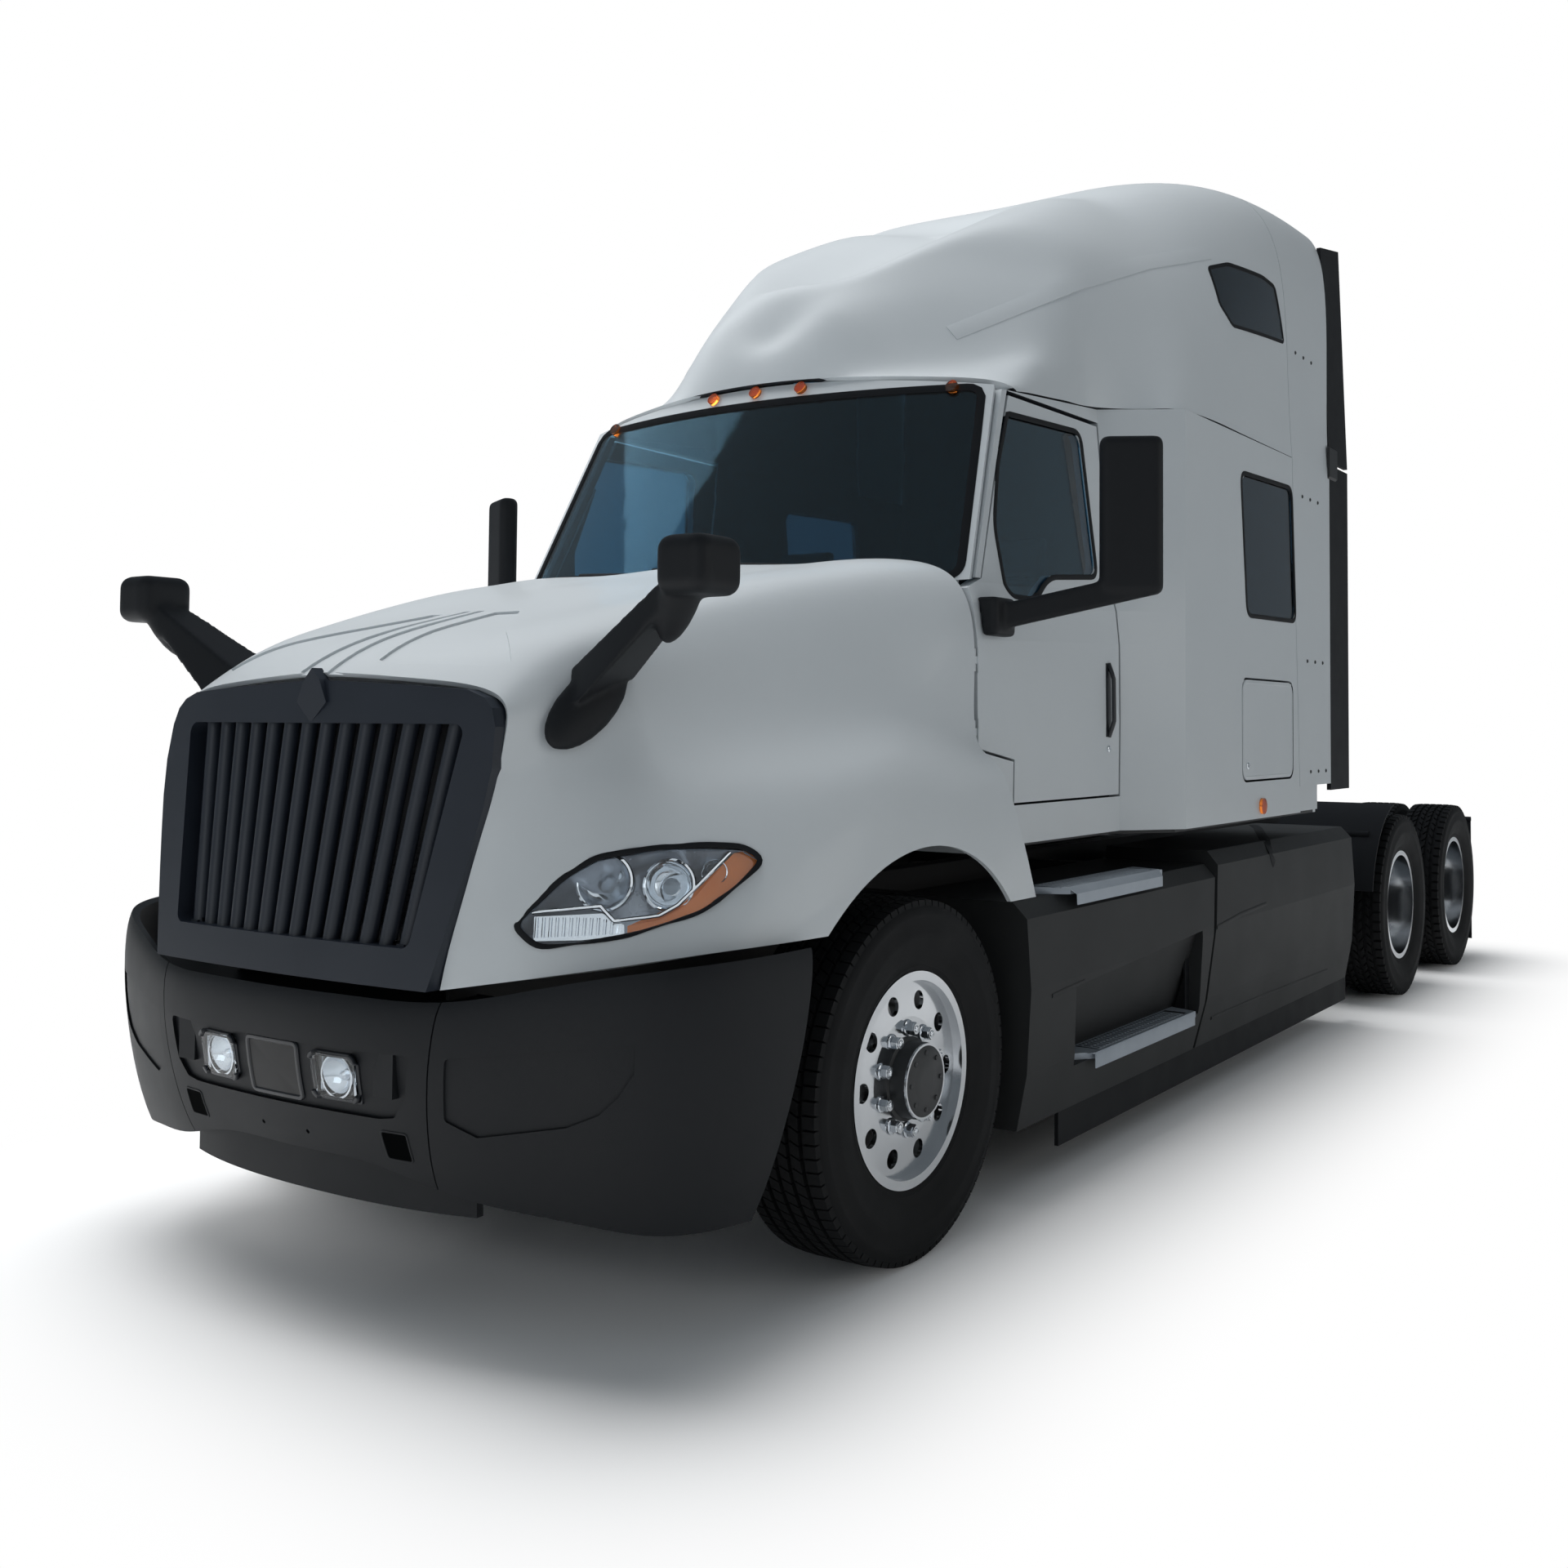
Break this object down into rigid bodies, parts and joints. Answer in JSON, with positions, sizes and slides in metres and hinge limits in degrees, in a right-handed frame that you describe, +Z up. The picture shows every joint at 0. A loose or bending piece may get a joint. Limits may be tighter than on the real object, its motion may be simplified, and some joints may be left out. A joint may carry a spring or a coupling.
{
  "type": "semi truck tractor unit",
  "caption": "Conventional tractor unit with high-roof sleeper cab, tilting hood, hinged doors and hatches, steered front wheels, tandem drive axles and rocking coupling plate.",
  "frame": {"origin": "middle of the footprint's bounding box, on the ground", "axes": "the truck faces -Y, its left side is +X, +Z is up"},
  "size_m": [3.0792, 8.378, 4.08],
  "materials": {
    "white_paint": "gloss",
    "charcoal_plastic": "matte",
    "grille_plastic": "satin",
    "black_steel": "satin",
    "cast_metal": "rough",
    "polished_aluminium": "polished",
    "tread_aluminium": "satin",
    "tyre_rubber": "matte",
    "rubber": "matte",
    "tinted_glass": "gloss",
    "lamp_lens": "gloss",
    "amber_lens": "gloss",
    "red_lens": "gloss",
    "trim_fabric": "matte",
    "trim_plastic": "matte"
  },
  "bodies": {
    "chassis": {"bumper": "charcoal_plastic", "bunk": "trim_fabric", "cab_floor": "black_steel", "cab_front": "white_paint", "cab_rear_wall": "white_paint", "cab_sides": "white_paint", "coupling_base": "cast_metal", "crossmembers": "black_steel", "dashboard": "trim_plastic", "deck_plate": "tread_aluminium", "drive_axles": "cast_metal", "driveline": "cast_metal", "engine_block": "cast_metal", "extender_flaps": "rubber", "fog_lamps": "lamp_lens", "frame_rails": "black_steel", "front_axle": "cast_metal", "fuel_tanks": "black_steel", "marker_lamps": "amber_lens", "mud_guards": "charcoal_plastic", "radiator": "black_steel", "rear_suspension": "black_steel", "roof_cap": "white_paint", "rubber_skirts": "rubber", "seats": "trim_fabric", "side_extenders": "white_paint", "side_fairings": "charcoal_plastic", "sleeper_windows": "tinted_glass", "step_treads": "tread_aluminium", "tail_lamps": "red_lens", "windshield": "tinted_glass"},
    "hood": {"hood_shell": "white_paint", "grille": "grille_plastic", "headlamps": "lamp_lens", "hood_mirrors": "charcoal_plastic"},
    "coupling_plate": {"coupling_plate": "cast_metal"},
    "tie_rod": {"tie_rod": "cast_metal"},
    "door_left": {"door_left": "white_paint", "door_glass_left": "tinted_glass", "mirror_left": "charcoal_plastic"},
    "luggage_hatch_left": {"luggage_hatch_left": "white_paint"},
    "knuckle_left": {"knuckle_left": "cast_metal"},
    "wheel_front_left": {"tyre_front_left": "tyre_rubber", "rim_front_left": "polished_aluminium"},
    "wheels_drive_one_left": {"tyres_drive_one_left": "tyre_rubber", "rims_drive_one_left": "polished_aluminium"},
    "wheels_drive_two_left": {"tyres_drive_two_left": "tyre_rubber", "rims_drive_two_left": "polished_aluminium"},
    "door_right": {"door_right": "white_paint", "door_glass_right": "tinted_glass", "mirror_right": "charcoal_plastic"},
    "luggage_hatch_right": {"luggage_hatch_right": "white_paint"},
    "knuckle_right": {"knuckle_right": "cast_metal"},
    "wheel_front_right": {"tyre_front_right": "tyre_rubber", "rim_front_right": "polished_aluminium"},
    "wheels_drive_one_right": {"tyres_drive_one_right": "tyre_rubber", "rims_drive_one_right": "polished_aluminium"},
    "wheels_drive_two_right": {"tyres_drive_two_right": "tyre_rubber", "rims_drive_two_right": "polished_aluminium"}
  },
  "joints": [
    {"name": "hood_tilt", "type": "hinge", "parent": "chassis", "child": "hood", "pos_m": [0, -4.0895, 0.95], "axis": [1, 0, 0], "range_deg": [0, 60]},
    {"name": "door_left_hinge", "type": "hinge", "parent": "chassis", "child": "door_left", "pos_m": [1.04, -2.3835, 1.8], "axis": [0, 0, -1], "range_deg": [0, 70]},
    {"name": "door_right_hinge", "type": "hinge", "parent": "chassis", "child": "door_right", "pos_m": [-1.04, -2.3835, 1.8], "axis": [0, 0, 1], "range_deg": [0, 70]},
    {"name": "luggage_hatch_left_hinge", "type": "hinge", "parent": "chassis", "child": "luggage_hatch_left", "pos_m": [1.213, -0.052, 1.704], "axis": [0, -1, 0], "range_deg": [0, 80]},
    {"name": "luggage_hatch_right_hinge", "type": "hinge", "parent": "chassis", "child": "luggage_hatch_right", "pos_m": [-1.213, -0.052, 1.704], "axis": [0, 1, 0], "range_deg": [0, 80]},
    {"name": "coupling_plate_rock", "type": "hinge", "parent": "chassis", "child": "coupling_plate", "pos_m": [0, 2.6705, 1.085], "axis": [1, 0, 0], "range_deg": [-15, 15]},
    {"name": "steer_left", "type": "hinge", "parent": "chassis", "child": "knuckle_left", "pos_m": [0.905, -2.9295, 0.51], "axis": [0, 0, 1], "range_deg": [-35, 35]},
    {"name": "steer_right", "type": "hinge", "parent": "chassis", "child": "knuckle_right", "pos_m": [-0.905, -2.9295, 0.51], "axis": [0, 0, 1], "range_deg": [-35, 35]},
    {"name": "tie_rod_joint", "type": "hinge", "parent": "knuckle_left", "child": "tie_rod", "pos_m": [0.905, -2.7595, 0.345], "axis": [0, 0, 1], "range_deg": [-35, 35]},
    {"name": "wheel_front_left_spin", "type": "hinge", "parent": "knuckle_left", "child": "wheel_front_left", "pos_m": [1.04, -2.9295, 0.51], "axis": [1, 0, 0], "continuous": true},
    {"name": "wheels_drive_one_left_spin", "type": "hinge", "parent": "chassis", "child": "wheels_drive_one_left", "pos_m": [0.9145, 2.2895, 0.51], "axis": [1, 0, 0], "continuous": true},
    {"name": "wheels_drive_two_left_spin", "type": "hinge", "parent": "chassis", "child": "wheels_drive_two_left", "pos_m": [0.9145, 3.6095, 0.51], "axis": [1, 0, 0], "continuous": true},
    {"name": "wheel_front_right_spin", "type": "hinge", "parent": "knuckle_right", "child": "wheel_front_right", "pos_m": [-1.04, -2.9295, 0.51], "axis": [1, 0, 0], "continuous": true},
    {"name": "wheels_drive_one_right_spin", "type": "hinge", "parent": "chassis", "child": "wheels_drive_one_right", "pos_m": [-0.9145, 2.2895, 0.51], "axis": [1, 0, 0], "continuous": true},
    {"name": "wheels_drive_two_right_spin", "type": "hinge", "parent": "chassis", "child": "wheels_drive_two_right", "pos_m": [-0.9145, 3.6095, 0.51], "axis": [1, 0, 0], "continuous": true}
  ],
  "couplings": [
    {"joint": "steer_right", "follows": "steer_left", "ratio": 1},
    {"joint": "tie_rod_joint", "follows": "steer_left", "ratio": -1}
  ]
}
